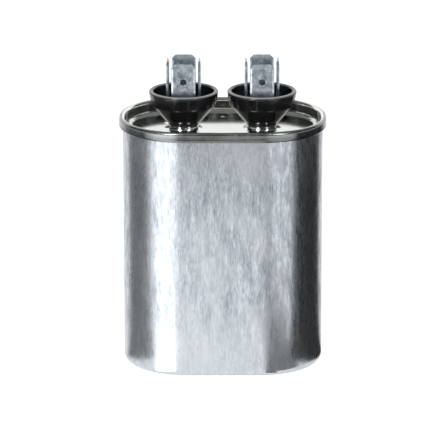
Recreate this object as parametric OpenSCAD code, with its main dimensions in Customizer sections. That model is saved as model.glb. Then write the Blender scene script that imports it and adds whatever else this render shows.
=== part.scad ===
// Oval motor run capacitor: a drawn can closed by a double-seamed lid, with two cup terminals
// that carry crossed quick-connect strips, and a wound film element sealed inside.
// Millimetres. +Z is up, the origin is at the centre of the base, and X runs through both terminals.

/* [Oval] */
// Width over the seam, along X
rim_w = 54.9; // [50:0.1:62]
// Depth over the seam, along Y
rim_d = 38.6; // [34:0.1:42]
// Flat run at each end of the oval, along Y
end_flat = 2.6; // [0.6:0.1:6]

/* [Can] */
// Height from the base to the top of the seam
can_h = 67.1; // [50:0.1:120]
// Thickness of the drawn wall
can_wall = 0.36; // [0.25:0.01:0.5]
// Thickness of the base
base_t = 0.5; // [0.3:0.05:1]
// Outside radius between the wall and the base
base_r = 1.5; // [1.2:0.1:3]

/* [Seam and lid] */
// Thickness of the lid's sheet
lid_t = 0.27; // [0.2:0.01:0.35]
// Height of the double seam
seam_h = 2.7; // [2.4:0.1:3.4]
// Film left between neighbouring layers of the seam
seam_film = 0.02; // [0.01:0.01:0.05]
// Room for sealing compound above the can's rolled flange
seam_void = 0.3; // [0.15:0.05:0.5]
// Depth of the lid's pan below the top of the seam
pan_depth = 3.7; // [3.2:0.1:6]
// Radius at the foot of the pan's wall
pan_r = 0.8; // [0.4:0.1:1.5]
// Height of the boss under each terminal
boss_h = 1.2; // [0.8:0.1:2]
// Radius of the dimple punched in the pan
dimple_r = 0.5; // [0.3:0.05:0.8]
// Height of the dimple
dimple_h = 0.2; // [0.1:0.05:0.3]
// Distance of the dimple behind the terminals' line
dimple_y = 11.6; // [9:0.1:13]

/* [Quick-connect strips] */
// Width of each blade
blade_w = 6.35; // [4.8:0.05:6.5]
// Thickness of each blade
blade_t = 0.8; // [0.5:0.05:0.9]
// Distance between the blades of the wide strip, between their middle planes
wide_span = 11.2; // [10:0.1:12.5]
// Distance between the blades of the narrow strip, between their middle planes
narrow_span = 8.4; // [7.6:0.1:9.4]
// Height of the blades' tips above the cup's lip
blade_reach = 8.2; // [7:0.1:10]
// Cut across each corner of a blade's tip
tip_corner = 1; // [0.5:0.1:1.5]
// Length of the bevel on both faces of a blade's tip
tip_bevel = 1.3; // [0.8:0.1:2]
// Thickness left at a blade's tip
tip_t = 0.36; // [0.25:0.01:0.45]
// Chamfer along a blade's edges
edge_chamfer = 0.16; // [0.05:0.01:0.2]
// Inside radius of a strip's bends
bend_r = 0.4; // [0.2:0.05:0.8]
// Radius of the detent hole in each blade
detent_r = 0.85; // [0.6:0.05:1.1]
// Distance of the detent hole below the tip
detent_drop = 4.8; // [4:0.1:5.5]

/* [Cups] */
// Clear space between the two cups
cup_gap = 2.3; // [1:0.1:5]
// Thickness of the cup's wall, measured level
cup_t = 1.25; // [0.9:0.05:1.6]
// Clearance round the wide strip's corners in the bowl
bowl_room = 0.56; // [0.4:0.02:1.2]
// Widening of the collar from its foot to the lip
collar_flare = 0.6; // [0:0.05:1.2]
// Height of the collar
collar_h = 3.9; // [3:0.1:6]
// Height of the cone below the collar
cone_h = 5; // [4.4:0.1:7]
// Radius of the cone's foot
foot_r = 4.2; // [3.8:0.1:5]
// Depth of the bowl's tapered foot, below the collar
bowl_drop = 1.1; // [0.7:0.1:1.2]
// Width of the round on the edge between cone and collar
knee_round = 0.5; // [0.2:0.05:0.8]
// Wall of the spigot that lines the lid's hole
spigot_wall = 0.7; // [0.5:0.05:1]
// Thickness of the gasket between cup and lid
gasket_t = 0.4; // [0.3:0.05:0.8]

/* [Rivets, washers and lugs] */
// Radius of the rivet's shank
shank_r = 1.5; // [1.2:0.05:1.8]
// Radius of the rivet's head
head_r = 2.5; // [2.1:0.05:2.8]
// Height of the rivet's domed head
head_h = 1.1; // [0.8:0.05:1.4]
// Radius of the clenched tail
tail_r = 2.3; // [2:0.05:2.6]
// Height of the clenched tail
tail_h = 0.9; // [0.6:0.05:1.2]
// Clearance of the holes round the shank and the spigot
hole_play = 0.05; // [0.02:0.01:0.1]
// Width of the inner washer's flange past the boss
flange_lap = 1; // [0.6:0.1:1.6]
// Thickness of the inner washer's flange
flange_t = 1.2; // [0.8:0.1:2]
// Thickness of the inner lug
lug_t = 0.6; // [0.4:0.05:0.8]
// Width of the lug's ring round the rivet
lug_ring = 1.9; // [1.2:0.1:2.4]
// Wall of the lug's crimped barrel
barrel_wall = 0.45; // [0.3:0.05:0.6]
// Length of the lug's crimped barrel
barrel_h = 2; // [1.5:0.1:2.1]
// Clear space between the rivet's tail and the lug's barrel
neck_gap = 2.3; // [0.5:0.1:3]

/* [Element] */
// Gap between the lugs' barrels and the stress plate, which the lid's bulge would open
break_gap = 0.5; // [0.3:0.1:2]
// Thickness of the stress plate
plate_t = 1.2; // [0.8:0.1:2]
// Height of the stress plate's skirt
skirt_h = 4.5; // [4.2:0.1:7]
// Thickness of the stress plate's skirt
skirt_t = 1.2; // [0.8:0.1:2]
// Thickness of the sprayed metal on each end of the winding
spray_t = 0.6; // [0.3:0.05:1]
// Thickness of the film wrapped round the winding
wrap_t = 0.3; // [0.15:0.05:0.6]
// Depth of the flat core tube, along Y
core_d = 5; // [4.4:0.1:8]
// Wall of the core tube
core_wall = 0.8; // [0.5:0.05:1]
// Clearance between neighbouring parts of the element
pack_play = 0.05; // [0.02:0.01:0.1]
// Thickness of the tray's floor
tray_t = 1; // [0.6:0.1:2]
// Thickness of the tray's wall
tray_wall = 0.5; // [0.4:0.05:0.8]
// Height of the tray
tray_h = 8; // [6:0.1:15]
// Clearance round the tray's wall, inside and outside
tray_play = 0.1; // [0.05:0.01:0.2]
// Height of the ribs in the tray
rib_h = 2; // [1.8:0.1:3]
// Thickness of the ribs
rib_t = 1.2; // [0.8:0.1:1.4]
// Distance of the outer ribs from the middle
rib_y = 10; // [6:0.1:12]

/* [Leads] */
// Radius of a sleeved lead
lead_r = 0.8; // [0.5:0.05:0.9]
// Radius of a lead's bend, to its middle
lead_bend = 3; // [2:0.1:3.3]
// Length of a lead's soldered end
pad_l = 4; // [2:0.1:5]
// Width of a lead's soldered end
pad_w = 2.2; // [1.4:0.1:2.3]
// Distance of the soldered ends past the core
pad_past = 1.5; // [0.5:0.1:4]

/* [Hidden] */
$fn = 72;

// Overlap between shapes that are joined into one piece
lap = 1;

// The oval: round corners on these centres. Every outline is a distance out from them.
corner_r = (rim_d - end_flat) / 2;
corner_x = rim_w / 2 - corner_r;
corner_y = end_flat / 2;

// Layers of the double seam, from the outside in, as distances from the corner centres
hook_out = corner_r - lid_t - seam_film;
hook_in = hook_out - can_wall;
curl_out = hook_in - seam_film;
curl_in = curl_out - lid_t;
wall_out = curl_in - seam_film;
wall_in = wall_out - can_wall;
chuck_out = wall_in - seam_film;
chuck_in = chuck_out - lid_t;

// Bends of the double seam
top_bend_r = (corner_r - chuck_in) / 2;
top_bend_u = (corner_r + chuck_in) / 2;
top_bend_z = can_h - top_bend_r;
flange_bend_r = (hook_out - wall_in) / 2;
flange_bend_z = top_bend_z - seam_void;
foot_bend_r = (corner_r - curl_in) / 2;
foot_bend_u = (corner_r + curl_in) / 2;
foot_bend_z = can_h - seam_h + foot_bend_r;
bead_half = 0.8 * flange_bend_r;

// Lid
pan_z = can_h - pan_depth;
boss_r = foot_r;
boss_z = pan_z + boss_h;
flare_r = boss_h - lid_t;
boss_base_r = boss_r + flare_r;
under_lid_z = pan_z - lid_t;
under_boss_z = boss_z - lid_t;

// Cups: the bowl is as wide as the corners of the wide strip need
cup_z = boss_z + gasket_t;
cup_h = cone_h + collar_h;
strip_corner_r = norm([blade_w / 2, (wide_span + blade_t) / 2]);
collar_r = strip_corner_r + bowl_room + cup_t;
cup_r = collar_r + collar_flare;
lip_z = cup_h - cup_t / 2;
cone_slope = (collar_r - foot_r) / cone_h;
collar_slope = collar_flare / (lip_z - cone_h);
floor_t = cone_h - bowl_drop;
terminal_x = cup_r + cup_gap / 2;
spigot_r = shank_r + hole_play + spigot_wall;

// Strips and rivet
strip_z = cup_z + floor_t;
tip_z = cup_z + cup_h + blade_reach;
head_z = strip_z + 2 * blade_t;
flange_z = under_lid_z - flange_t;
lug_z = flange_z - lug_t;
barrel_z = lug_z - barrel_h;

// Element, from the top down and from the wall in
plate_z = barrel_z - break_gap - plate_t;
element_top_z = plate_z - skirt_h;
tray_z = base_t;
rib_z = tray_z + tray_t;
element_z = rib_z + rib_h;
coil_span = (rim_w - rim_d) / 2;
tray_out = wall_in - tray_play;
wrap_r = tray_out - tray_wall - tray_play + end_flat / 2;
coil_r = wrap_r - wrap_t - pack_play;
core_r = core_d / 2;
core_end = coil_span + core_r;

// Leads
barrel_r = lead_r + pack_play + barrel_wall;
neck_l = tail_r + neck_gap + barrel_r;
lead_x = terminal_x - neck_l;
pad_x = core_end + pad_past;
lead_lift = lead_r + pack_play;

// Outlines and sweeps that several pieces share

// The can's oval, at distance u out from the corner centres
module oval(u) {
    square([2 * (corner_x + u), 2 * corner_y], center = true);
    square([2 * corner_x, 2 * (corner_y + u)], center = true);
    for (x = [-corner_x, corner_x], y = [-corner_y, corner_y])
        translate([x, y])
            circle(u);
}

// The winding's outline: round ends on centres one coil span from the middle
module race(r) {
    square([2 * coil_span, 2 * r], center = true);
    for (x = [-coil_span, coil_span])
        translate([x, 0])
            circle(r);
}

// Half of a flat ring, over or under its centre
module half_ring(outer, inner, over) {
    intersection() {
        difference() {
            circle(outer);
            circle(inner);
        }
        translate([-outer, over ? 0 : -outer])
            square([2 * outer, outer]);
    }
}

// Sweeps a section, drawn as distance and height, once round the can's oval
module round_the_oval() {
    for (side = [0, 1], face = [0, 1])
        mirror([side, 0, 0])
            mirror([0, face, 0])
                translate([corner_x, corner_y, 0])
                    rotate_extrude(angle = 90)
                        children();
    for (face = [0, 1])
        mirror([0, face, 0])
            translate([0, corner_y, 0])
                rotate([90, 0, 90])
                    linear_extrude(2 * corner_x, center = true)
                        children();
    for (side = [0, 1])
        mirror([side, 0, 0])
            translate([corner_x, 0, 0])
                rotate([90, 0, 0])
                    linear_extrude(2 * corner_y, center = true)
                        children();
}

// Places one terminal's piece on the left (-1) or the right (1), turned so its +X points outwards
module at_terminal(side) {
    mirror([side < 0 ? 1 : 0, 0, 0])
        translate([terminal_x, 0, 0])
            children();
}

// Can: drawn aluminium, with its flange rolled down into the seam

module can_section() {
    inner_r = base_r - base_t;
    difference() {
        union() {
            translate([wall_out - base_r, base_r])
                circle(base_r);
            translate([wall_out - base_r - lap, 0])
                square([lap, 2 * base_r]);
            translate([wall_out - base_r - lap, base_r])
                square([base_r + lap, flange_bend_z - base_r]);
        }
        translate([wall_in - inner_r, base_t + inner_r])
            circle(inner_r);
        translate([0, base_t])
            square([wall_in - inner_r, can_h]);
        translate([0, base_t + inner_r])
            square([wall_in, can_h]);
    }
    translate([top_bend_u, flange_bend_z])
        half_ring(flange_bend_r, flange_bend_r - can_wall, true);
    translate([hook_in, foot_bend_z])
        square([can_wall, flange_bend_z - foot_bend_z]);
}

module can() {
    color("silver") {
        round_the_oval()
            can_section();
        linear_extrude(base_t)
            oval(wall_out - base_r);
    }
}

// Lid: tinplate, folded over and under the can's flange, with a pan and two flared bosses

module lid_section() {
    translate([corner_r - lid_t, foot_bend_z])
        square([lid_t, top_bend_z - foot_bend_z]);
    translate([top_bend_u, top_bend_z])
        half_ring(top_bend_r, top_bend_r - lid_t, true);
    translate([foot_bend_u, foot_bend_z])
        half_ring(foot_bend_r, foot_bend_r - lid_t, false);
    translate([curl_in, foot_bend_z])
        square([lid_t, flange_bend_z - foot_bend_z]);
    translate([chuck_in, pan_z + pan_r])
        square([lid_t, top_bend_z - pan_z - pan_r]);
    intersection() {
        translate([chuck_in - pan_r, pan_z + pan_r])
            half_ring(pan_r + lid_t, pan_r, false);
        translate([chuck_in - pan_r, under_lid_z])
            square(pan_r + lid_t);
    }
    translate([chuck_in - pan_r - lap, under_lid_z])
        square([lap, lid_t]);
}

module boss_section() {
    hole_r = spigot_r + hole_play;
    translate([hole_r, under_boss_z])
        square([boss_r - lid_t - hole_r, lid_t]);
    intersection() {
        translate([boss_r - lid_t, under_boss_z])
            circle(lid_t);
        translate([boss_r - lid_t, under_boss_z])
            square(lid_t);
    }
    intersection() {
        translate([boss_base_r, pan_z + flare_r])
            half_ring(flare_r + lid_t, flare_r, false);
        translate([boss_r - lid_t, under_lid_z])
            square(flare_r + lid_t);
    }
    translate([boss_base_r, under_lid_z])
        square([lap, lid_t]);
}

module lid() {
    ball_r = (dimple_r * dimple_r + dimple_h * dimple_h) / (2 * dimple_h);
    color("gainsboro") {
        round_the_oval()
            lid_section();
        translate([0, 0, under_lid_z])
            linear_extrude(lid_t)
                difference() {
                    oval(chuck_in - pan_r);
                    for (side = [-1, 1])
                        translate([side * terminal_x, 0])
                            circle(boss_base_r);
                }
        for (side = [-1, 1])
            at_terminal(side)
                rotate_extrude()
                    boss_section();
        translate([0, dimple_y, pan_z - lid_t / 2])
            intersection() {
                translate([0, 0, lid_t / 2 + dimple_h - ball_r])
                    sphere(ball_r);
                cylinder(h = ball_r, r = ball_r);
            }
    }
}

// Sealing compound: the bead squeezed between the lid's curl and the can's flange

module seam_compound() {
    bead_top_r = top_bend_r - lid_t - seam_film;
    color("darkgreen")
        round_the_oval()
            translate([top_bend_u, 0])
                intersection() {
                    difference() {
                        union() {
                            translate([0, top_bend_z])
                                circle(bead_top_r);
                            translate([-bead_top_r, flange_bend_z])
                                square([2 * bead_top_r, seam_void]);
                        }
                        translate([0, flange_bend_z])
                            circle(flange_bend_r + seam_film);
                    }
                    translate([-bead_half, flange_bend_z])
                        square([2 * bead_half, seam_void + bead_top_r]);
                }
}

// Cup: moulded black phenolic, a cone with a collar, a bowl and a spigot through the lid

module cup_section() {
    knee_z = cone_h + knee_round / 2;
    knee_low_z = cone_h - knee_round / 2;
    difference() {
        union() {
            polygon([
                [0, 0],
                [foot_r, 0],
                [foot_r + knee_low_z * cone_slope, knee_low_z],
                [collar_r + knee_round * collar_slope / 2, knee_z],
                [cup_r, lip_z],
                [0, lip_z]
            ]);
            translate([cup_r - cup_t / 2, lip_z])
                circle(cup_t / 2);
        }
        polygon([
            [0, floor_t],
            [foot_r + floor_t * cone_slope - cup_t, floor_t],
            [collar_r - cup_t, cone_h],
            [cup_r - cup_t, lip_z],
            [cup_r - cup_t, cup_h + lap],
            [0, cup_h + lap]
        ]);
        square([shank_r + hole_play, floor_t]);
    }
    translate([shank_r + hole_play, under_boss_z - cup_z])
        square([spigot_wall, cup_z - under_boss_z + lap]);
}

module cup() {
    color([0.06, 0.06, 0.07])
        translate([0, 0, cup_z])
            rotate_extrude()
                cup_section();
}

module left_cup() {
    at_terminal(-1)
        cup();
}

module right_cup() {
    at_terminal(1)
        cup();
}

// Gasket: rubber ring pressed between the cup's foot and the boss

module gasket() {
    color("dimgray")
        translate([0, 0, boss_z])
            linear_extrude(gasket_t)
                difference() {
                    circle(boss_r - lid_t);
                    circle(spigot_r + hole_play);
                }
}

module left_gasket() {
    at_terminal(-1)
        gasket();
}

module right_gasket() {
    at_terminal(1)
        gasket();
}

// Strips: tinned brass, each folded into a U with a blade at both ends

// One blade standing on z = 0 with its face square to Y, centred on x = 0 and y = 0
module blade(height) {
    half_w = blade_w / 2;
    half_t = blade_t / 2;
    intersection() {
        translate([0, half_t, 0])
            rotate([90, 0, 0])
                linear_extrude(blade_t)
                    difference() {
                        polygon([
                            [-half_w, 0],
                            [half_w, 0],
                            [half_w, height - tip_corner],
                            [half_w - tip_corner, height],
                            [-half_w + tip_corner, height],
                            [-half_w, height - tip_corner]
                        ]);
                        translate([0, height - detent_drop])
                            circle(detent_r);
                    }
        translate([-half_w, 0, 0])
            rotate([90, 0, 90])
                linear_extrude(blade_w)
                    polygon([
                        [-half_t, 0],
                        [half_t, 0],
                        [half_t, height - tip_bevel],
                        [tip_t / 2, height],
                        [-tip_t / 2, height],
                        [-half_t, height - tip_bevel]
                    ]);
        linear_extrude(height)
            polygon([
                [-half_w, -half_t + edge_chamfer],
                [-half_w + edge_chamfer, -half_t],
                [half_w - edge_chamfer, -half_t],
                [half_w, -half_t + edge_chamfer],
                [half_w, half_t - edge_chamfer],
                [half_w - edge_chamfer, half_t],
                [-half_w + edge_chamfer, half_t],
                [-half_w, half_t - edge_chamfer]
            ]);
    }
}

// A whole strip with its blades spaced along Y, lying with its underside at z = bottom
module strip(span, bottom) {
    outer_r = bend_r + blade_t;
    flat_half = (span + blade_t) / 2 - outer_r;
    color([0.72, 0.76, 0.79])
        translate([0, 0, bottom]) {
            linear_extrude(blade_t)
                difference() {
                    square([blade_w, 2 * flat_half], center = true);
                    circle(shank_r + hole_play);
                }
            for (face = [0, 1])
                mirror([0, face, 0]) {
                    translate([-blade_w / 2, flat_half, outer_r])
                        rotate([90, 0, 90])
                            linear_extrude(blade_w)
                                intersection() {
                                    half_ring(outer_r, bend_r, false);
                                    translate([0, -outer_r])
                                        square(outer_r);
                                }
                    translate([0, span / 2, outer_r])
                        blade(tip_z - bottom - outer_r);
                }
        }
}

module left_wide_strip() {
    at_terminal(-1)
        strip(wide_span, strip_z);
}

module right_wide_strip() {
    at_terminal(1)
        strip(wide_span, strip_z);
}

module left_narrow_strip() {
    at_terminal(-1)
        rotate([0, 0, 90])
            strip(narrow_span, strip_z + blade_t);
}

module right_narrow_strip() {
    at_terminal(1)
        rotate([0, 0, 90])
            strip(narrow_span, strip_z + blade_t);
}

// Rivet: one turned pin from the strips to the lug, domed above and clenched below

module rivet() {
    ball_r = (head_r * head_r + head_h * head_h) / (2 * head_h);
    color("lightgray") {
        translate([0, 0, lug_z])
            cylinder(h = head_z - lug_z, r = shank_r);
        translate([0, 0, head_z])
            intersection() {
                translate([0, 0, head_h - ball_r])
                    sphere(ball_r);
                cylinder(h = head_h, r = head_r);
            }
        translate([0, 0, lug_z - tail_h])
            cylinder(h = tail_h, r = tail_r);
    }
}

module left_rivet() {
    at_terminal(-1)
        rivet();
}

module right_rivet() {
    at_terminal(1)
        rivet();
}

// Inner washer: moulded insulator that fills the boss from below and spreads under the pan

module inner_washer() {
    color("ivory")
        difference() {
            union() {
                translate([0, 0, flange_z])
                    cylinder(h = flange_t, r = boss_base_r + flange_lap);
                translate([0, 0, flange_z])
                    cylinder(h = under_boss_z - flange_z, r = boss_r - lid_t - hole_play);
            }
            translate([0, 0, flange_z - lap])
                cylinder(h = flange_t + boss_h + 2 * lap, r = shank_r + hole_play);
        }
}

module left_inner_washer() {
    at_terminal(-1)
        inner_washer();
}

module right_inner_washer() {
    at_terminal(1)
        inner_washer();
}

// Lug: tinned ring held by the rivet's tail, with a barrel crimped on the lead

module lug() {
    color("darkkhaki") {
        translate([0, 0, lug_z])
            linear_extrude(lug_t)
                difference() {
                    union() {
                        circle(shank_r + lug_ring);
                        translate([-neck_l, -barrel_r])
                            square([neck_l, 2 * barrel_r]);
                        translate([-neck_l, 0])
                            circle(barrel_r);
                    }
                    circle(shank_r + hole_play);
                }
        translate([-neck_l, 0, barrel_z])
            linear_extrude(barrel_h)
                difference() {
                    circle(barrel_r);
                    circle(lead_r + pack_play);
                }
    }
}

module left_lug() {
    at_terminal(-1)
        lug();
}

module right_lug() {
    at_terminal(1)
        lug();
}

// Leads: sleeved wire from a lug to the sprayed metal on one end of the winding

// A lead on the right side: down from the lug to level z, then outwards to its soldered end
module lead(z) {
    bend_top = z + lead_bend;
    translate([lead_x, 0, bend_top])
        cylinder(h = lug_z - bend_top, r = lead_r);
    translate([lead_x + lead_bend, 0, bend_top])
        rotate([90, 0, 0])
            rotate([0, 0, 180])
                rotate_extrude(angle = 90)
                    translate([lead_bend, 0])
                        circle(lead_r);
    translate([lead_x + lead_bend, 0, z])
        rotate([0, 90, 0])
            cylinder(h = pad_x - lead_x - lead_bend + lap, r = lead_r);
}

// The flattened end, soldered to the sprayed metal above or below it
module soldered_end(low, high) {
    translate([pad_x, -pad_w / 2, low])
        cube([pad_l, pad_w, high - low]);
}

module top_lead() {
    color("firebrick")
        mirror([1, 0, 0]) {
            lead(element_top_z + lead_lift);
            soldered_end(element_top_z, element_top_z + lead_lift);
        }
}

module bottom_lead() {
    color("navy") {
        lead(element_z - lead_lift);
        soldered_end(element_z - lead_lift, element_z);
    }
}

// Element: metallised film wound on a flat core, with sprayed ends and a wrap

module race_ring(outer, inner, low, high) {
    translate([0, 0, low])
        linear_extrude(high - low)
            difference() {
                race(outer);
                race(inner);
            }
}

module winding() {
    color("lightsteelblue")
        race_ring(coil_r, core_r + pack_play, element_z + spray_t, element_top_z - spray_t);
}

module core() {
    color("white")
        race_ring(core_r, core_r - core_wall, element_z, element_top_z);
}

module top_end_spray() {
    color("gray")
        race_ring(coil_r, core_r + pack_play, element_top_z - spray_t, element_top_z);
}

module bottom_end_spray() {
    color("gray")
        race_ring(coil_r, core_r + pack_play, element_z, element_z + spray_t);
}

module outer_wrap() {
    color("khaki")
        race_ring(wrap_r, wrap_r - wrap_t, element_z, element_top_z);
}

// Tray: moulded insulator on the can's base, with ribs that carry the core and the winding

module tray_section() {
    inner_r = base_r - tray_wall;
    difference() {
        union() {
            translate([tray_out - base_r, tray_z + base_r])
                circle(base_r);
            translate([tray_out - base_r - lap, tray_z])
                square([lap, 2 * base_r]);
            translate([tray_out - base_r - lap, tray_z + base_r])
                square([base_r + lap, tray_h - base_r]);
        }
        translate([tray_out - base_r, rib_z + inner_r])
            circle(inner_r);
        translate([0, rib_z])
            square([tray_out - base_r, tray_h]);
        translate([0, rib_z + inner_r])
            square([tray_out - tray_wall, tray_h]);
    }
}

module tray() {
    core_rib_y = core_r - core_wall / 2;
    color("beige") {
        round_the_oval()
            tray_section();
        translate([0, 0, tray_z])
            linear_extrude(tray_t)
                oval(tray_out - base_r);
        translate([0, 0, rib_z - tray_t / 2])
            linear_extrude(rib_h + tray_t / 2)
                intersection() {
                    oval(tray_out - tray_wall / 2);
                    for (y = [-rib_y, -core_rib_y, core_rib_y, rib_y])
                        translate([0, y])
                            square([rim_w, rib_t], center = true);
                }
    }
}

// Stress plate: moulded cap over the winding that the leads pass through

module stress_plate() {
    color("wheat") {
        translate([0, 0, plate_z])
            linear_extrude(plate_t)
                difference() {
                    race(coil_r);
                    for (x = [-lead_x, lead_x])
                        translate([x, 0])
                            circle(lead_r + tray_play);
                }
        race_ring(coil_r, coil_r - skirt_t, element_top_z, plate_z);
    }
}

can();
lid();
seam_compound();
left_cup();
right_cup();
left_gasket();
right_gasket();
left_wide_strip();
right_wide_strip();
left_narrow_strip();
right_narrow_strip();
left_rivet();
right_rivet();
left_inner_washer();
right_inner_washer();
left_lug();
right_lug();
top_lead();
bottom_lead();
winding();
core();
top_end_spray();
bottom_end_spray();
outer_wrap();
tray();
stress_plate();
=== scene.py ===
import math

import bmesh
import bpy
from mathutils import Matrix, Vector


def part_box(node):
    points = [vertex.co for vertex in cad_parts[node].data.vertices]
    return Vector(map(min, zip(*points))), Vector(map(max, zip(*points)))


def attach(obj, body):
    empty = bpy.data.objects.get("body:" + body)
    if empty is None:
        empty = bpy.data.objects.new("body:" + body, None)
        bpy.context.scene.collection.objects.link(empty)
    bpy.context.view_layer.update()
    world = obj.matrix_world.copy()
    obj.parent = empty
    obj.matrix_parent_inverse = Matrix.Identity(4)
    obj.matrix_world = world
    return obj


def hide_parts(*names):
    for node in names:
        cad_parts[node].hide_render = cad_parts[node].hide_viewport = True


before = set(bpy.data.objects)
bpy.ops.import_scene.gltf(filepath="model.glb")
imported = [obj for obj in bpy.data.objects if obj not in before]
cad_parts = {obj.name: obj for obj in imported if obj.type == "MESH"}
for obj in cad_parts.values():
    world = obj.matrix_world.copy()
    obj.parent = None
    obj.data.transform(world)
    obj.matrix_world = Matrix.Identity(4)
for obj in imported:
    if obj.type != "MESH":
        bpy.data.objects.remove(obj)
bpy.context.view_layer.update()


# ---------------------------------------------------------------- Can
# The can is deep drawn from aluminium sheet, so fine draw lines run up its wall, and handling has
# dulled and scuffed it between them. Its outline is an oval of four round corners on short straight
# runs. Its flange is rolled down into the seam, under the lid's curl.

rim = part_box("lid")[1]
end_flat = 0.0026
rim_r = rim.y - end_flat / 2
corner = Vector((rim.x - rim_r, end_flat / 2, 0))
corner_steps = 28
can_sheet = 0.00036
can_wall_r = 0.01686
flange_r = 0.000335
flange_mid = can_wall_r + flange_r
flange_z = 0.065995
hook_foot_z = 0.06505
base_round = 0.00132
base_lip = 0.0006
same_place = 1e-6
bare_metal = (0.55, 0.58, 0.61, 1)
scored_metal = (0.21, 0.24, 0.28, 1)
broad_lines = (900, 900, 170)
fine_lines = (3300, 3300, 620)
line_patches = (130, 130, 80)
fewest_lines_z = 0.010
most_lines_z = 0.022


def start_section(bm, out, up):
    """The first point of a section, at a distance out and a height up."""
    return bm.verts.new((out, 0, up))


def run_to(bm, end, out, up, held=0.00015):
    """Carries the section straight on, with a point near each end that keeps a long run flat."""
    goal = Vector((out, 0, up))
    along = goal - end.co
    stops = [goal]
    is_long = along.length > 4 * held
    if is_long:
        step = along.normalized() * held
        stops = [end.co + step, goal - step, goal]
    for stop in stops:
        end = bmesh.ops.extrude_vert_indiv(bm, verts=[end])["verts"][0]
        end.co = stop
    return end


def bend(bm, end, out, up, degrees, steps=6):
    """Carries the section on round a centre, clockwise where degrees are positive."""
    geom = bmesh.ops.spin(
        bm, geom=[end], cent=(out, 0, up), axis=(0, 1, 0),
        angle=math.radians(degrees), steps=steps,
    )["geom_last"]
    return [g for g in geom if isinstance(g, bmesh.types.BMVert)][0]


def sweep_round_the_oval(bm):
    """Sweeps the section once round the can's oval: a corner, then the straight run after it."""
    bmesh.ops.translate(bm, vec=corner, verts=bm.verts)
    front = bm.edges[:]
    centre = corner.copy()
    run_steps = 4
    for run in (
        Vector((-2 * corner.x, 0, 0)),
        Vector((0, -2 * corner.y, 0)),
        Vector((2 * corner.x, 0, 0)),
        Vector((0, 2 * corner.y, 0)),
    ):
        turned = bmesh.ops.spin(
            bm, geom=front, cent=centre, axis=(0, 0, 1),
            angle=math.radians(90), steps=corner_steps,
        )["geom_last"]
        moved = bmesh.ops.spin(
            bm, geom=turned, cent=centre, axis=(0, 0, 1), dvec=run / run_steps, angle=0,
            steps=run_steps,
        )["geom_last"]
        front = moved
        centre += run
    bmesh.ops.remove_doubles(bm, verts=bm.verts, dist=same_place)


def rim_edges(bm, height):
    """The open edges that lie at a height."""
    return [
        e for e in bm.edges
        if e.is_boundary and all(abs(v.co.z - height) < same_place for v in e.verts)
    ]


def finish_piece(bm, name, materials, replaced, sharp=35):
    """Makes a mesh a piece that stands for CAD nodes, smooth but for edges past the sharp angle."""
    bmesh.ops.recalc_face_normals(bm, faces=bm.faces)
    for face in bm.faces:
        face.smooth = True
    for edge in bm.edges:
        edge.smooth = not edge.is_manifold or edge.calc_face_angle() < math.radians(sharp)
    mesh = bpy.data.meshes.new(name)
    bm.to_mesh(mesh)
    bm.free()
    piece = bpy.data.objects.new(name, mesh)
    bpy.context.scene.collection.objects.link(piece)
    for material in materials:
        piece.data.materials.append(material)
    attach(piece, "root")
    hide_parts(*replaced)
    return piece


def thicken(piece, thickness):
    """Gives a bent sheet its thickness, half to each side."""
    sheet = piece.modifiers.new("sheet", "SOLIDIFY")
    sheet.thickness = thickness
    sheet.offset = 0
    sheet.use_even_offset = True


def new_material(name, **plain):
    """A material with its Principled shader, whose plain values sit on the shader's own sockets."""
    material = bpy.data.materials.new(name)
    material.use_nodes = True
    shader = material.node_tree.nodes["Principled BSDF"]
    for socket, value in plain.items():
        shader.inputs[socket.replace("_", " ")].default_value = value
    return material, material.node_tree, shader


def add(tree, kind, **values):
    """Adds a node, with its properties and its sockets' values by name."""
    node = tree.nodes.new(kind)
    for key, value in values.items():
        if hasattr(node, key):
            setattr(node, key, value)
        else:
            node.inputs[key.replace("_", " ")].default_value = value
    return node


def placed(tree, scale):
    """The piece's own coordinates, stretched for a pattern."""
    where = add(tree, "ShaderNodeTexCoord")
    stretch = add(tree, "ShaderNodeMapping")
    stretch.inputs["Scale"].default_value = scale
    tree.links.new(where.outputs["Object"], stretch.inputs["Vector"])
    return stretch.outputs["Vector"]


def rising(tree, low, high, first=0.0, last=1.0):
    """A value that goes from its first to its last between two heights on the piece."""
    where = add(tree, "ShaderNodeTexCoord")
    split = add(tree, "ShaderNodeSeparateXYZ")
    ramp = add(
        tree, "ShaderNodeMapRange", From_Min=low, From_Max=high, To_Min=first, To_Max=last
    )
    tree.links.new(where.outputs["Object"], split.inputs[0])
    tree.links.new(split.outputs["Z"], ramp.inputs["Value"])
    return ramp.outputs["Result"]


def maths(tree, operation, first, second, third=None):
    """One sum on values or sockets, kept between 0 and 1."""
    node = add(tree, "ShaderNodeMath", operation=operation, use_clamp=True)
    for socket, value in zip(node.inputs, (first, second, third)):
        if isinstance(value, bpy.types.NodeSocket):
            tree.links.new(value, socket)
        elif value is not None:
            socket.default_value = value
    return node.outputs[0]


def roughen(tree, shader, height, deep, strength=1.0):
    """Gives the shader's surface a fine relief from a pattern's height."""
    bump = add(tree, "ShaderNodeBump", Strength=strength, Distance=deep)
    tree.links.new(height, bump.inputs["Height"])
    tree.links.new(bump.outputs["Normal"], shader.inputs["Normal"])


def new_group(name, inputs, outputs):
    """A node group with named inputs, each a kind and a first value, and named outputs."""
    tree = bpy.data.node_groups.new(name, "ShaderNodeTree")
    for label, (kind, value) in inputs.items():
        socket = tree.interface.new_socket(label, in_out="INPUT", socket_type=kind)
        if value is not None:
            socket.default_value = value
    for label, kind in outputs.items():
        tree.interface.new_socket(label, in_out="OUTPUT", socket_type=kind)
    return tree, add(tree, "NodeGroupInput"), add(tree, "NodeGroupOutput")


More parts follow.
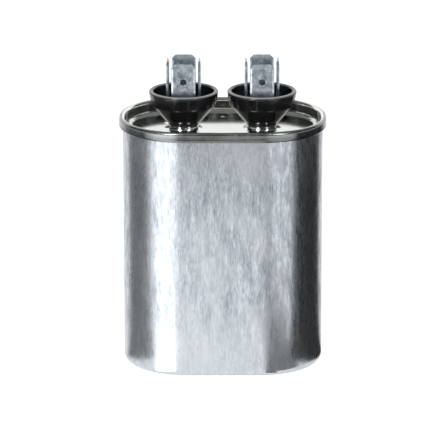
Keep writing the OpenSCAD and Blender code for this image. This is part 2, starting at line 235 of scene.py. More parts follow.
def use_group(tree, group, vector, **values):
    """Places a group in a material, with that material's own values."""
    node = tree.nodes.new("ShaderNodeGroup")
    node.node_tree = group
    tree.links.new(vector, node.inputs["Vector"])
    for key, value in values.items():
        node.inputs[key.replace("_", " ")].default_value = value
    return node


# Soft clouds of two colours with a finer grain, as plating, moulding and sheet all have
clouds, clouds_in, clouds_out = new_group(
    "cloudy_finish",
    {
        "Vector": ("NodeSocketVector", None),
        "Size": ("NodeSocketFloat", 200.0),
        "Grain": ("NodeSocketFloat", 2500.0),
        "First": ("NodeSocketColor", (0.5, 0.5, 0.5, 1)),
        "Second": ("NodeSocketColor", (0.6, 0.6, 0.6, 1)),
        "Smooth": ("NodeSocketFloat", 0.2),
        "Dull": ("NodeSocketFloat", 0.4),
    },
    {"Color": "NodeSocketColor", "Roughness": "NodeSocketFloat", "Height": "NodeSocketFloat"},
)
cloud = add(clouds, "ShaderNodeTexNoise", Detail=3.0, Roughness=0.6)
grain = add(clouds, "ShaderNodeTexNoise", Detail=2.0, Roughness=0.7)
clouds.links.new(clouds_in.outputs["Vector"], cloud.inputs["Vector"])
clouds.links.new(clouds_in.outputs["Size"], cloud.inputs["Scale"])
clouds.links.new(clouds_in.outputs["Vector"], grain.inputs["Vector"])
clouds.links.new(clouds_in.outputs["Grain"], grain.inputs["Scale"])
spread = add(clouds, "ShaderNodeMapRange", From_Min=0.3, From_Max=0.7)
clouds.links.new(cloud.outputs["Fac"], spread.inputs["Value"])
tint = add(clouds, "ShaderNodeMix", data_type="RGBA")
clouds.links.new(spread.outputs["Result"], tint.inputs["Factor"])
clouds.links.new(clouds_in.outputs["First"], tint.inputs["A"])
clouds.links.new(clouds_in.outputs["Second"], tint.inputs["B"])
gloss = add(clouds, "ShaderNodeMix", data_type="FLOAT")
both = add(clouds, "ShaderNodeMath", operation="MULTIPLY")
clouds.links.new(spread.outputs["Result"], both.inputs[0])
clouds.links.new(grain.outputs["Fac"], both.inputs[1])
clouds.links.new(both.outputs[0], gloss.inputs["Factor"])
clouds.links.new(clouds_in.outputs["Smooth"], gloss.inputs["A"])
clouds.links.new(clouds_in.outputs["Dull"], gloss.inputs["B"])
clouds.links.new(tint.outputs["Result"], clouds_out.inputs["Color"])
clouds.links.new(gloss.outputs["Result"], clouds_out.inputs["Roughness"])
clouds.links.new(grain.outputs["Fac"], clouds_out.inputs["Height"])


def clouded(
    name, first, second, size, grain_size, smooth, dull, grain_height, stretch=(1, 1, 1), **plain
):
    """A material of two clouded colours, with a fine grain in its gloss and surface."""
    material, tree, shader = new_material(name, **plain)
    finish = use_group(
        tree, clouds, placed(tree, stretch), Size=size, Grain=grain_size,
        First=(*first, 1), Second=(*second, 1), Smooth=smooth, Dull=dull,
    )
    tree.links.new(finish.outputs["Color"], shader.inputs["Base Color"])
    tree.links.new(finish.outputs["Roughness"], shader.inputs["Roughness"])
    roughen(tree, shader, finish.outputs["Height"], grain_height)
    return material


# Lines from drawing, that break up and fade along the piece
lines, lines_in, lines_out = new_group(
    "draw_lines",
    {
        "Vector": ("NodeSocketVector", None),
        "Cover": ("NodeSocketFloat", 0.5),
        "Soft": ("NodeSocketFloat", 0.12),
    },
    {"Mask": "NodeSocketFloat", "Height": "NodeSocketFloat"},
)
line = add(lines, "ShaderNodeTexNoise", Scale=1.0, Detail=3.0, Roughness=0.6)
lines.links.new(lines_in.outputs["Vector"], line.inputs["Vector"])
edge = add(lines, "ShaderNodeMath", operation="SUBTRACT")
lines.links.new(line.outputs["Fac"], edge.inputs[0])
lines.links.new(lines_in.outputs["Cover"], edge.inputs[1])
sharpen = add(lines, "ShaderNodeMath", operation="DIVIDE")
lines.links.new(edge.outputs[0], sharpen.inputs[0])
lines.links.new(lines_in.outputs["Soft"], sharpen.inputs[1])
mask = add(lines, "ShaderNodeMapRange", From_Min=-1.0, From_Max=1.0)
lines.links.new(sharpen.outputs[0], mask.inputs["Value"])
lines.links.new(mask.outputs["Result"], lines_out.inputs["Mask"])
lines.links.new(line.outputs["Fac"], lines_out.inputs["Height"])


def drawn_aluminium():
    """Satin aluminium, scored by short draw lines that lie densest in patches of its upper part."""
    material, tree, shader = new_material("drawn_aluminium", Metallic=1.0)
    broad = use_group(tree, lines, placed(tree, broad_lines), Cover=0.5, Soft=0.15)
    fine = use_group(tree, lines, placed(tree, fine_lines), Cover=0.5, Soft=0.16)
    patches = use_group(tree, lines, placed(tree, line_patches), Cover=0.48, Soft=0.14)
    upper = rising(tree, fewest_lines_z, most_lines_z, first=0.45)
    dense = maths(tree, "MULTIPLY_ADD", patches.outputs["Mask"], 0.5, 0.5)
    dense = maths(tree, "MULTIPLY", dense, upper)
    scored = maths(tree, "MULTIPLY", fine.outputs["Mask"], 0.62)
    scored = maths(tree, "MULTIPLY_ADD", broad.outputs["Mask"], 0.38, scored)
    scored = maths(tree, "MULTIPLY", scored, dense)
    colour = add(tree, "ShaderNodeMix", data_type="RGBA")
    colour.inputs["A"].default_value = bare_metal
    colour.inputs["B"].default_value = scored_metal
    tree.links.new(scored, colour.inputs["Factor"])
    tree.links.new(colour.outputs["Result"], shader.inputs["Base Color"])
    gloss = add(tree, "ShaderNodeMapRange", To_Min=0.22, To_Max=0.38)
    tree.links.new(broad.outputs["Mask"], gloss.inputs["Value"])
    tree.links.new(gloss.outputs["Result"], shader.inputs["Roughness"])
    roughen(tree, shader, fine.outputs["Height"], 0.00002, strength=0.6)
    return material


bm = bmesh.new()
end = start_section(bm, flange_mid + flange_r, hook_foot_z)
end = run_to(bm, end, flange_mid + flange_r, flange_z)
end = bend(bm, end, flange_mid, flange_z, -180)
end = run_to(bm, end, can_wall_r, can_sheet / 2 + base_round)
end = bend(bm, end, can_wall_r - base_round, can_sheet / 2 + base_round, 90)
end = run_to(bm, end, can_wall_r - base_round - base_lip, can_sheet / 2)
sweep_round_the_oval(bm)
bmesh.ops.edgeloop_fill(bm, edges=rim_edges(bm, can_sheet / 2))
can = finish_piece(bm, "can_shell", [drawn_aluminium()], ["can"])
thicken(can, can_sheet)


# ---------------------------------------------------------------- Lid
# The lid is pressed from bright tinplate. Its edge curls under the can's flange and is rolled flat
# against the wall. A pan is let into it, with a flared boss round each terminal's hole and one
# small dimple behind them.

lid_sheet = 0.00027
curl_in_r = 0.017195
curl_foot_r = 0.000335
curl_foot_mid = curl_in_r + curl_foot_r
curl_foot_z = 0.06487
curl_out_r = curl_foot_mid + curl_foot_r
curl_tip_z = 0.0659
ridge_r = 0.00067
ridge_z = rim.z - 0.000805
chuck_r = curl_out_r - 2 * ridge_r
pan_round = 0.000935
pan_z = 0.063265
pan_lip = 0.0003
cup_low, cup_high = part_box("right_cup")
terminal_x = (cup_low.x + cup_high.x) / 2
boss_side_r = 0.004065
boss_flare = 0.001065
boss_round = 0.000135
boss_hole_r = 0.0023
dimple_y = 0.0116
dimple_r = 0.0005
dimple_ball = 0.000725
dimple_turn = 43.6
# Dark tin of the roll scores, and also of the painted shade under the seam
scored_and_shaded_tin = (0.03, 0.032, 0.032, 1)
clean_tin = (0.50, 0.53, 0.52, 1)
roll_scores = (60, 60, 3200)
seam_scuffs = (400, 400, 300)
# Heights over which the painted shade under the seam fades out
painted_shade_low = curl_foot_z + 0.0004
painted_shade_high = curl_foot_z + 0.0026


def spin_round(bm, steps=72):
    """Spins the section once round its own middle."""
    bmesh.ops.spin(
        bm, geom=bm.verts[:] + bm.edges[:], cent=(0, 0, 0), axis=(0, 0, 1),
        angle=math.radians(360), steps=steps, use_merge=True,
    )
    bmesh.ops.remove_doubles(bm, verts=bm.verts, dist=same_place)


def put_copy(bm, source, place):
    """Copies a mesh into another, at a place."""
    mesh = bpy.data.meshes.new("copy")
    source.to_mesh(mesh)
    mesh.transform(Matrix.Translation(place))
    bm.from_mesh(mesh)
    bpy.data.meshes.remove(mesh)


boss = bmesh.new()
end = start_section(boss, boss_side_r + boss_flare + pan_lip, pan_z)
end = run_to(boss, end, boss_side_r + boss_flare, pan_z)
end = bend(boss, end, boss_side_r + boss_flare, pan_z + boss_flare, 90, steps=8)
end = bend(boss, end, boss_side_r - boss_round, pan_z + boss_flare, -90, steps=4)
end = run_to(boss, end, boss_hole_r, pan_z + boss_flare + boss_round)
spin_round(boss)

dimple = bmesh.new()
end = start_section(dimple, dimple_r + pan_lip, pan_z)
end = run_to(dimple, end, dimple_r, pan_z)
end = bend(dimple, end, 0, pan_z - dimple_ball * math.cos(math.radians(dimple_turn)), -dimple_turn)
spin_round(dimple, steps=24)

bm = bmesh.new()
end = start_section(bm, curl_in_r, curl_tip_z)
end = run_to(bm, end, curl_in_r, curl_foot_z)
end = bend(bm, end, curl_foot_mid, curl_foot_z, -180)
end = run_to(bm, end, curl_out_r, ridge_z)
end = bend(bm, end, curl_out_r - ridge_r, ridge_z, -180, steps=12)
end = run_to(bm, end, chuck_r, pan_z + pan_round)
end = bend(bm, end, chuck_r - pan_round, pan_z + pan_round, 90, steps=8)
end = run_to(bm, end, chuck_r - pan_round - pan_lip, pan_z)
sweep_round_the_oval(bm)
put_copy(bm, boss, (-terminal_x, 0, 0))
put_copy(bm, boss, (terminal_x, 0, 0))
put_copy(bm, dimple, (0, dimple_y, 0))
boss.free()
dimple.free()
bmesh.ops.triangle_fill(bm, edges=rim_edges(bm, pan_z), use_beauty=True)
tinplate = clouded(
    "bright_tinplate", (0.78, 0.80, 0.77), (0.84, 0.86, 0.83),
    size=120, grain_size=2500, smooth=0.09, dull=0.14, grain_height=0.0000003,
    Metallic=1.0,
)


def rolled_tinplate():
    """Tinplate scored by the seaming rolls, with painted shade darkening it in under the seam."""
    material, tree, shader = new_material("rolled_tinplate", Metallic=1.0)
    scores = use_group(tree, lines, placed(tree, roll_scores), Cover=0.5, Soft=0.2)
    scuffs = use_group(tree, lines, placed(tree, seam_scuffs), Cover=0.5, Soft=0.2)
    # Painted shade: the tin darkens towards the foot of the seam, where the curl meets the can's
    # wall
    seam_foot_shade = rising(tree, painted_shade_low, painted_shade_high, first=0.35)
    wear_and_shade = maths(tree, "MULTIPLY_ADD", scores.outputs["Mask"], 0.25, 0.55)
    wear_and_shade = maths(tree, "MULTIPLY_ADD", scuffs.outputs["Mask"], 0.2, wear_and_shade)
    wear_and_shade = maths(tree, "MULTIPLY", wear_and_shade, seam_foot_shade)
    colour = add(tree, "ShaderNodeMix", data_type="RGBA")
    colour.inputs["A"].default_value = scored_and_shaded_tin
    colour.inputs["B"].default_value = clean_tin
    tree.links.new(wear_and_shade, colour.inputs["Factor"])
    tree.links.new(colour.outputs["Result"], shader.inputs["Base Color"])
    gloss = add(tree, "ShaderNodeMapRange", To_Min=0.16, To_Max=0.30)
    tree.links.new(scuffs.outputs["Mask"], gloss.inputs["Value"])
    tree.links.new(gloss.outputs["Result"], shader.inputs["Roughness"])
    roughen(tree, shader, scores.outputs["Height"], 0.00001, strength=0.5)
    return material


for face in bm.faces:
    spot = face.calc_center_median()
    out = Vector((max(abs(spot.x) - corner.x, 0), max(abs(spot.y) - corner.y, 0))).length
    in_the_seam = out > curl_out_r - ridge_r
    face.material_index = int(in_the_seam)
lid = finish_piece(bm, "lid_pressing", [tinplate, rolled_tinplate()], ["lid"])
thicken(lid, lid_sheet)


# ---------------------------------------------------------------- Sealing compound
# A bead of rubbery compound fills the room above the can's rolled flange. It is squeezed there when
# the seam is rolled, and cannot be seen from outside.

compound = clouded(
    "seam_sealing_compound", (0.20, 0.19, 0.17), (0.28, 0.26, 0.23),
    size=400, grain_size=4000, smooth=0.5, dull=0.7, grain_height=0.00001,
)
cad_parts["seam_compound"].material_slots[0].material = compound


# ---------------------------------------------------------------- Gaskets
# A rubber ring is pressed flat between each cup's foot and its boss, and seals the hole.

rubber = clouded(
    "gasket_rubber", (0.03, 0.03, 0.03), (0.05, 0.05, 0.048),
    size=500, grain_size=5000, smooth=0.55, dull=0.75, grain_height=0.00001,
)
for node in ("left_gasket", "right_gasket"):
    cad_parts[node].material_slots[0].material = rubber


# ---------------------------------------------------------------- Cups
# Each terminal stands in a cup moulded from black phenolic: a cone with a collar, a rounded lip, a
# bowl for the strips and a spigot through the lid. It is glossy, with a painted highlight on the
# lip.

cup_z = 0.065
cup_wall = 0.00125
cup_lip_r = cup_wall / 2
cup_rim_r = (cup_high.x - cup_low.x) / 2
cup_lip_z = cup_high.z - cup_lip_r
cup_foot_r = 0.0042
cone_top = cup_z + 0.005
collar_r = 0.008598
knee_r = 0.0006
bowl_z = cup_z + 0.0039
bowl_r = 0.00638
shank_hole_r = 0.00155
spigot_r = 0.00225
crown_low = cup_high.z - 0.0004
crown_high = cup_high.z - 0.0001
# Pale grey of the painted highlight along the crown of the lip
painted_highlight_grey = (0.34, 0.34, 0.35, 1)


def black_phenolic():
    """Glossy black moulding, with a painted highlight of pale grey round the crown of the lip."""
    material, tree, shader = new_material("black_phenolic")
    finish = use_group(
        tree, clouds, placed(tree, (1, 1, 1)), Size=180, Grain=3000,
        First=(0.006, 0.006, 0.007, 1), Second=(0.012, 0.012, 0.014, 1), Smooth=0.12, Dull=0.22,
    )
    crown = rising(tree, crown_low, crown_high)
    # Painted highlight: the crown of the lip is mixed towards pale grey, broken up by the grain
    lip_highlight = maths(tree, "MULTIPLY_ADD", finish.outputs["Height"], 0.6, 0.5)
    lip_highlight = maths(tree, "MULTIPLY", lip_highlight, crown)
    colour = add(tree, "ShaderNodeMix", data_type="RGBA")
    colour.inputs["B"].default_value = painted_highlight_grey
    tree.links.new(lip_highlight, colour.inputs["Factor"])
    tree.links.new(finish.outputs["Color"], colour.inputs["A"])
    tree.links.new(colour.outputs["Result"], shader.inputs["Base Color"])
    gloss = maths(tree, "MULTIPLY_ADD", crown, 0.25, finish.outputs["Roughness"])
    tree.links.new(gloss, shader.inputs["Roughness"])
    roughen(tree, shader, finish.outputs["Height"], 0.000004)
    return material


phenolic = black_phenolic()


def cup():
    """One cup, spun round its own middle."""
    slope = math.atan2(cone_top - cup_z, collar_r - cup_foot_r)
    lean = math.atan2(cup_lip_z - cone_top, cup_rim_r - collar_r)
    tangent = knee_r * math.tan((lean - slope) / 2)
    bm = bmesh.new()
    first = start_section(bm, shank_hole_r, cup_low.z)
    end = run_to(bm, first, spigot_r, cup_low.z)
    end = run_to(bm, end, spigot_r, cup_z)
    end = run_to(bm, end, cup_foot_r, cup_z)
    end = run_to(
        bm, end, collar_r - tangent * math.cos(slope), cone_top - tangent * math.sin(slope)
    )
    end = bend(
        bm, end, end.co.x - knee_r * math.sin(slope), end.co.z + knee_r * math.cos(slope),
        -math.degrees(lean - slope),
    )
    end = run_to(bm, end, cup_rim_r, cup_lip_z)
    end = bend(bm, end, cup_rim_r - cup_lip_r, cup_lip_z, -180, steps=12)
    end = run_to(bm, end, collar_r - cup_wall, cone_top)
    end = run_to(bm, end, bowl_r, bowl_z)
    end = run_to(bm, end, shank_hole_r, bowl_z)
    bm.edges.new((end, first))
    spin_round(bm, steps=96)
    return bm


for side, name in ((-1, "left_cup"), (1, "right_cup")):
    bm = cup()
    bmesh.ops.translate(bm, vec=(side * terminal_x, 0, 0), verts=bm.verts)
    finish_piece(bm, name + "_moulding", [phenolic], [name])


# ---------------------------------------------------------------- Quick-connect strips
# Two tinned brass strips are crossed in each cup, each folded into a U with a blade at both ends.
# A blade is bevelled at its tip, its corners are cut, its sides are coined thin, and a small round
# detent hole goes through it. The tin is cloudy, bluish and lightly scratched.

blade_w = 0.00635
blade_t = 0.0008
bend_in_r = 0.0004
bend_mid_r = bend_in_r + blade_t / 2
tip_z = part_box("right_wide_strip")[1].z
tip_corner = 0.001
tip_bevel = 0.0013
tip_t = 0.00036
detent_r = 0.00085
detent_drop = 0.0048
rivet_hole_r = 0.00155
coined_w = 0.0005
coined_t = 0.00048
hole_roll = 0.0002
punched_edge = 0.00008
weld_gap = 2e-6

tin = clouded(
    "tinned_brass", (0.24, 0.30, 0.37), (0.62, 0.67, 0.71),
    size=700, grain_size=6000, smooth=0.18, dull=0.36, grain_height=0.00001,
    Metallic=0.8,
)


def punched_plate(outline, hole, hole_r, rolled=False, steps=48):
    """A flat plate in the X-Y plane, as thick as a strip, with one round hole and coined sides."""
    bm = bmesh.new()
    points = [bm.verts.new((x, y, 0)) for x, y in outline]
    edges = [bm.edges.new((a, b)) for a, b in zip(points, points[1:] + points[:1])]
    ring = bmesh.ops.create_circle(
        bm, segments=steps, radius=hole_r, matrix=Matrix.Translation((*hole, 0))
    )
    edges += list({e for v in ring["verts"] for e in v.link_edges})
    bmesh.ops.triangle_fill(bm, edges=edges, use_beauty=True)
    solid = bmesh.ops.extrude_face_region(bm, geom=bm.faces[:])["geom"]
    lifted = [g for g in solid if isinstance(g, bmesh.types.BMVert)]
    bmesh.ops.translate(bm, vec=(0, 0, blade_t), verts=lifted)
    bmesh.ops.translate(bm, vec=(0, 0, -blade_t / 2), verts=bm.verts)
    bmesh.ops.recalc_face_normals(bm, faces=bm.faces)
    if rolled:
        rim_of_hole = [
            e for e in bm.edges
            if all(abs((v.co.xy - Vector(hole)).length - hole_r) < same_place for v in e.verts)
            and abs(e.verts[0].co.z - e.verts[1].co.z) < same_place
        ]
        bmesh.ops.bevel(
            bm, geom=rim_of_hole, offset=hole_roll, offset_type="OFFSET", affect="EDGES",
            segments=4, profile=0.5, material=-1, clamp_overlap=False,
        )
    for side in (-1, 1):
        bmesh.ops.bisect_plane(
            bm, geom=bm.verts[:] + bm.edges[:] + bm.faces[:],
            plane_co=(side * (blade_w / 2 - coined_w), 0, 0), plane_no=(1, 0, 0),
        )
    for vert in bm.verts:
        if abs(abs(vert.co.x) - blade_w / 2) < same_place:
            vert.co.z *= coined_t / blade_t
    return bm


def strip(span, floor_z):
    """One U-strip with its blades spaced along Y, standing on floor_z."""
    half_w = blade_w / 2
    flat = span / 2 - bend_mid_r
    foot_z = floor_z + blade_t / 2 + bend_mid_r
    bm = punched_plate(
        [(-half_w, -flat), (half_w, -flat), (half_w, flat), (-half_w, flat)], (0, 0), rivet_hole_r
    )
    for side in (-1, 1):
        last = [
            f for f in bm.faces
            if all(abs(v.co.y - side * flat) < same_place for v in f.verts)
        ]
        bmesh.ops.delete(bm, geom=last, context="FACES")
        around = [
            e for e in bm.edges
            if e.is_boundary and e.verts[0].co.y * side > flat - same_place
        ]
        bmesh.ops.spin(
            bm, geom=around, cent=(0, side * flat, bend_mid_r), axis=(1, 0, 0),
            angle=side * math.radians(90), steps=12,
        )
    bmesh.ops.translate(bm, vec=(0, 0, floor_z + blade_t / 2), verts=bm.verts)

    height = tip_z - foot_z
    blade = punched_plate(
        [
            (-half_w, 0), (half_w, 0), (half_w, height - tip_corner),
            (half_w - tip_corner, height), (-half_w + tip_corner, height),
            (-half_w, height - tip_corner),
        ],
        (0, height - detent_drop), detent_r, rolled=True,
    )
    foot = [f for f in blade.faces if all(abs(v.co.y) < same_place for v in f.verts)]
    bmesh.ops.delete(blade, geom=foot, context="FACES")
    bmesh.ops.bisect_plane(
        blade, geom=blade.verts[:] + blade.edges[:] + blade.faces[:],
        plane_co=(0, height - tip_bevel, 0), plane_no=(0, 1, 0),
    )
    for vert in blade.verts:
        past = (vert.co.y - height + tip_bevel) / tip_bevel
        if past > 0:
            vert.co.z *= 1 - past * (1 - tip_t / blade_t)
    bmesh.ops.rotate(blade, matrix=Matrix.Rotation(math.radians(90), 3, "X"), verts=blade.verts)
    put_copy(bm, blade, (0, -span / 2, foot_z))
    put_copy(bm, blade, (0, span / 2, foot_z))
    blade.free()
    bmesh.ops.remove_doubles(bm, verts=bm.verts, dist=weld_gap)
    bmesh.ops.recalc_face_normals(bm, faces=bm.faces)
    return bm


def round_the_edges(piece, width):
    """Rounds a piece's sharp edges, as punching and tumbling do, and keeps its flats flat."""
    rounded = piece.modifiers.new("rounded_edges", "BEVEL")
    rounded.width = width
    rounded.segments = 3
    rounded.limit_method = "ANGLE"
    rounded.angle_limit = math.radians(40)
    rounded.harden_normals = True


wide_low, wide_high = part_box("right_wide_strip")
narrow_low, narrow_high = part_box("right_narrow_strip")
wide_span = wide_high.y - wide_low.y - blade_t
narrow_span = narrow_high.x - narrow_low.x - blade_t
for side, hand in ((-1, "left"), (1, "right")):
    bm = strip(wide_span, wide_low.z)
    bmesh.ops.translate(bm, vec=(side * terminal_x, 0, 0), verts=bm.verts)
    piece = finish_piece(
        bm, hand + "_wide_strip_folded", [tin], [hand + "_wide_strip"], sharp=8
    )
    round_the_edges(piece, punched_edge)

    bm = strip(narrow_span, narrow_low.z)
    bmesh.ops.rotate(bm, matrix=Matrix.Rotation(math.radians(90), 3, "Z"), verts=bm.verts)
    bmesh.ops.translate(bm, vec=(side * terminal_x, 0, 0), verts=bm.verts)
    piece = finish_piece(
        bm, hand + "_narrow_strip_folded", [tin], [hand + "_narrow_strip"], sharp=8
    )
    round_the_edges(piece, punched_edge)


# ---------------------------------------------------------------- Rivets
# A steel rivet clamps the strips, cup, gasket, lid, washer and lug of each terminal together. Its
# domed head lies in the bowl, and its tail is clenched under the lug.

steel = clouded(
    "rivet_steel", (0.42, 0.42, 0.40), (0.55, 0.55, 0.53),
    size=700, grain_size=5000, smooth=0.25, dull=0.45, grain_height=0.000006,
    Metallic=1.0,
)
for node in ("left_rivet", "right_rivet"):
    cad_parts[node].material_slots[0].material = steel


# ---------------------------------------------------------------- Washers, lugs and leads
# Under the lid each rivet also holds a nylon washer and a tinned lug, crimped on a sleeved lead
# that runs to one end of the film roll. The can hides them all.

nylon = clouded(
    "washer_nylon", (0.62, 0.60, 0.54), (0.70, 0.68, 0.62),
    size=300, grain_size=3000, smooth=0.35, dull=0.5, grain_height=0.000006,
)
lug_tin = clouded(
    "tinned_copper_lug", (0.50, 0.50, 0.48), (0.62, 0.61, 0.58),
    size=800, grain_size=5000, smooth=0.25, dull=0.45, grain_height=0.000006,
    Metallic=1.0,
)
red_sleeve = clouded(
    "red_sleeve", (0.42, 0.03, 0.03), (0.52, 0.05, 0.04),
    size=900, grain_size=5000, smooth=0.5, dull=0.7, grain_height=0.00002,
    stretch=(1, 1, 0.4),
)
blue_sleeve = clouded(
    "blue_sleeve", (0.03, 0.07, 0.40), (0.05, 0.10, 0.50),
    size=900, grain_size=5000, smooth=0.5, dull=0.7, grain_height=0.00002,
    stretch=(1, 1, 0.4),
)
for node, finish in (
    ("left_inner_washer", nylon),
    ("right_inner_washer", nylon),
    ("left_lug", lug_tin),
    ("right_lug", lug_tin),
    ("top_lead", red_sleeve),
    ("bottom_lead", blue_sleeve),
):
    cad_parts[node].material_slots[0].material = finish


# ---------------------------------------------------------------- Element
# The element is metallised film wound on a flat plastic core, with both ends sprayed with zinc.
# Film is wrapped round it. It stands in an insulating tray, and a plate lies over it.

film = clouded(
    "metallised_film", (0.55, 0.56, 0.56), (0.66, 0.67, 0.67),
    size=60, grain_size=3000, smooth=0.22, dull=0.3, grain_height=0.000004,
    stretch=(8, 8, 1), Metallic=0.8,
)
core_plastic = clouded(
    "core_plastic", (0.70, 0.68, 0.62), (0.76, 0.74, 0.68),
    size=200, grain_size=3000, smooth=0.4, dull=0.5, grain_height=0.000006,
)
zinc_spray = clouded(
    "zinc_end_spray", (0.32, 0.32, 0.33), (0.46, 0.46, 0.47),
    size=1500, grain_size=7000, smooth=0.6, dull=0.8, grain_height=0.00005,
    Metallic=0.9,
)
wrap = clouded(
    "wrap_film", (0.72, 0.66, 0.40), (0.78, 0.72, 0.48),
    size=80, grain_size=2500, smooth=0.15, dull=0.25, grain_height=0.000003,
)
insulator = clouded(
    "insulator_plastic", (0.72, 0.72, 0.70), (0.78, 0.78, 0.76),
    size=150, grain_size=2500, smooth=0.35, dull=0.5, grain_height=0.000006,
)
for node, finish in (
    ("winding", film),
    ("core", core_plastic),
    ("top_end_spray", zinc_spray),
    ("bottom_end_spray", zinc_spray),
    ("outer_wrap", wrap),
    ("tray", insulator),
    ("stress_plate", insulator),
):
    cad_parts[node].material_slots[0].material = finish


# ---------------------------------------------------------------- Floor and background
# A plain pale floor. What the camera, metal and glass see past it is white, and it keeps the
# object's soft shadow.

floor_size = 3.0
floor_glow = 0.6
room_light = 0.55
floor_bm = bmesh.new()
bmesh.ops.create_grid(floor_bm, x_segments=1, y_segments=1, size=floor_size / 2)
floor_mesh = bpy.data.meshes.new("floor")
floor_bm.to_mesh(floor_mesh)
floor_bm.free()
floor = bpy.data.objects.new("floor", floor_mesh)
bpy.context.scene.collection.objects.link(floor)


def seen_white(tree):
    """A mask of the rays that see the background: the camera's, and those off metal and glass."""
    path = add(tree, "ShaderNodeLightPath")
    some = add(tree, "ShaderNodeMath", operation="MAXIMUM")
    any_of = add(tree, "ShaderNodeMath", operation="MAXIMUM")
    tree.links.new(path.outputs["Is Camera Ray"], some.inputs[0])
    tree.links.new(path.outputs["Is Glossy Ray"], some.inputs[1])
    tree.links.new(some.outputs[0], any_of.inputs[0])
    tree.links.new(path.outputs["Is Transmission Ray"], any_of.inputs[1])
    return any_of.outputs[0]


floor_paint, tree, shader = new_material("pale_floor", Roughness=0.9, Specular_IOR_Level=0.0)
shader.inputs["Base Color"].default_value = (0.8, 0.8, 0.8, 1)
shader.inputs["Emission Color"].default_value = (1, 1, 1, 1)
glow = add(tree, "ShaderNodeMath", operation="MULTIPLY")
glow.inputs[1].default_value = floor_glow
tree.links.new(seen_white(tree), glow.inputs[0])
tree.links.new(glow.outputs[0], shader.inputs["Emission Strength"])
floor.data.materials.append(floor_paint)

world = bpy.data.worlds.new("studio")
world.use_nodes = True
bpy.context.scene.world = world
tree = world.node_tree
room = tree.nodes["Background"]
room.inputs["Color"].default_value = (1, 1, 1, 1)
room.inputs["Strength"].default_value = room_light
white = add(tree, "ShaderNodeBackground")
white.inputs["Color"].default_value = (1, 1, 1, 1)
white.inputs["Strength"].default_value = 1.0
either = add(tree, "ShaderNodeMixShader")
tree.links.new(seen_white(tree), either.inputs[0])
tree.links.new(room.outputs[0], either.inputs[1])
tree.links.new(white.outputs[0], either.inputs[2])
tree.links.new(either.outputs[0], tree.nodes["World Output"].inputs["Surface"])


# ---------------------------------------------------------------- Light
# Two soft lights stand at the front, the stronger one at the left. White and dark cards lie and
# stand round the object, where only reflections see them, and give bright metal its edges.

aim = Vector((0, 0, 0.045))


def soft_light(name, azimuth, distance, height, width, tall, power):
    """A soft rectangular light turned to the object, at an azimuth to the right of the front."""
    data = bpy.data.lights.new(name, "AREA")
    data.shape = "RECTANGLE"
    data.size = width
    data.size_y = tall
    data.energy = power
    lamp = bpy.data.objects.new(name, data)
    a = math.radians(azimuth)
    lamp.location = (distance * math.sin(a), -distance * math.cos(a), height)
    lamp.rotation_euler = (aim - lamp.location).to_track_quat("-Z", "Y").to_euler()
    lamp.visible_camera = False
    bpy.context.scene.collection.objects.link(lamp)


def only_reflected(name, bm, shade):
    """A white, grey or dark surface of the studio that only reflections see."""
    mesh = bpy.data.meshes.new(name)
    bm.to_mesh(mesh)
    bm.free()
    card = bpy.data.objects.new(name, mesh)
    bpy.context.scene.collection.objects.link(card)
    material, tree, shader = new_material(name, Roughness=1.0, Specular_IOR_Level=0.0)
    shader.inputs["Base Color"].default_value = (0, 0, 0, 1)
    shader.inputs["Emission Color"].default_value = (1, 1, 1, 1)
    shader.inputs["Emission Strength"].default_value = shade
    card.data.materials.append(material)
    card.visible_camera = False
    card.visible_diffuse = False
    card.visible_transmission = False
    card.visible_shadow = False


def reflected_card(name, near, far, tall, shade):
    """A card that lies on the floor from its near edge to its far one, then stands up."""
    bm = bmesh.new()
    low = [bm.verts.new((*point, card_lift)) for point in (*near, *far)]
    bm.faces.new(low)
    if tall:
        far_edge = bm.edges.get((low[2], low[3]))
        raised = bmesh.ops.extrude_edge_only(bm, edges=[far_edge])["geom"]
        top = [g for g in raised if isinstance(g, bmesh.types.BMVert)]
        bmesh.ops.translate(bm, vec=(0, 0, tall), verts=top)
    only_reflected(name, bm, shade)


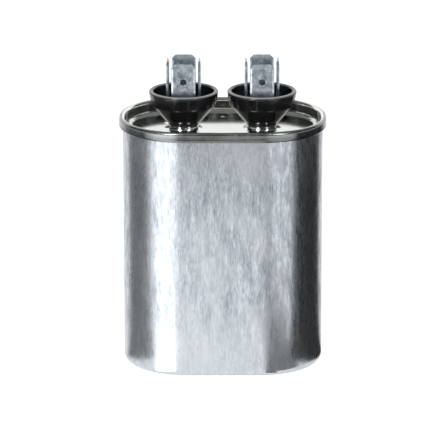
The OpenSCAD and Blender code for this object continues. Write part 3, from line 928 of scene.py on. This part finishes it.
softbox_out = 0.45
softbox_up = 0.44
softbox_tall = 0.40
card_lift = 0.0005
soft_light(
    "left_softbox", azimuth=-33, distance=softbox_out, height=softbox_up,
    width=0.12, tall=softbox_tall, power=1.6,
)
soft_light(
    "right_softbox", azimuth=42, distance=softbox_out, height=softbox_up,
    width=0.10, tall=softbox_tall, power=0.7,
)
reflected_card(
    "left_white_card", tall=0.06, shade=2.6,
    near=[(-0.013, -0.019), (-0.018, -0.016)], far=[(-0.130, -0.081), (-0.066, -0.150)],
)
reflected_card(
    "left_dark_card", tall=0.06, shade=0.28,
    near=[(-0.029, -0.024), (-0.029, -0.003)], far=[(-0.120, 0.063), (-0.120, -0.048)],
)
reflected_card(
    "right_dark_card", tall=0.06, shade=0.05,
    near=[(0.0265, -0.024), (0.0275, 0.003)], far=[(0.110, 0.095), (0.120, -0.065)],
)
reflected_card(
    "right_corner_card", tall=0, shade=0.3,
    near=[(0.012, -0.020), (0.024, -0.015)], far=[(0.060, -0.055), (0.035, -0.080)],
)
reflected_card(
    "front_dark_card", tall=0, shade=0.3,
    near=[(0.0115, -0.0185), (0.0145, -0.0175)], far=[(0.088, -0.203), (0.060, -0.212)],
)
reflected_card(
    "front_grey_card", tall=0, shade=0.3,
    near=[(-0.075, -0.225), (0.075, -0.225)], far=[(0.25, -1.0), (-0.25, -1.0)],
)

# The studio's front and sides are dark past the lights, and its ceiling grey. It is open behind
room_size = (1.8, 1.6, 0.5)
room_middle = (0, -0.1, 0.45)
for name, shade, is_ceiling in (("dark_walls", 0.025, False), ("grey_ceiling", 0.2, True)):
    room_bm = bmesh.new()
    bmesh.ops.create_cube(room_bm, size=1)
    bmesh.ops.scale(room_bm, vec=room_size, verts=room_bm.verts)
    bmesh.ops.translate(room_bm, vec=room_middle, verts=room_bm.verts)
    open_sides = [
        f for f in room_bm.faces
        if f.normal.z < -0.5 or f.normal.y > 0.5 or (f.normal.z > 0.5) != is_ceiling
    ]
    bmesh.ops.delete(room_bm, geom=open_sides, context="FACES_ONLY")
    only_reflected(name, room_bm, shade)


# ---------------------------------------------------------------- Camera
# The camera looks down a little on the front, from far enough that the sides stay upright.

camera_place = (0.000195, -0.8930, 0.3047)
camera_tilt = 73.31
lens = bpy.data.cameras.new("camera")
lens.lens = 280.8
lens.sensor_width = 36
camera = bpy.data.objects.new("camera", lens)
camera.location = camera_place
camera.rotation_euler = (math.radians(camera_tilt), 0, 0)
lens.clip_start = 0.05
lens.clip_end = 20
bpy.context.scene.collection.objects.link(camera)
bpy.context.scene.camera = camera
bpy.context.scene.view_settings.view_transform = "Standard"
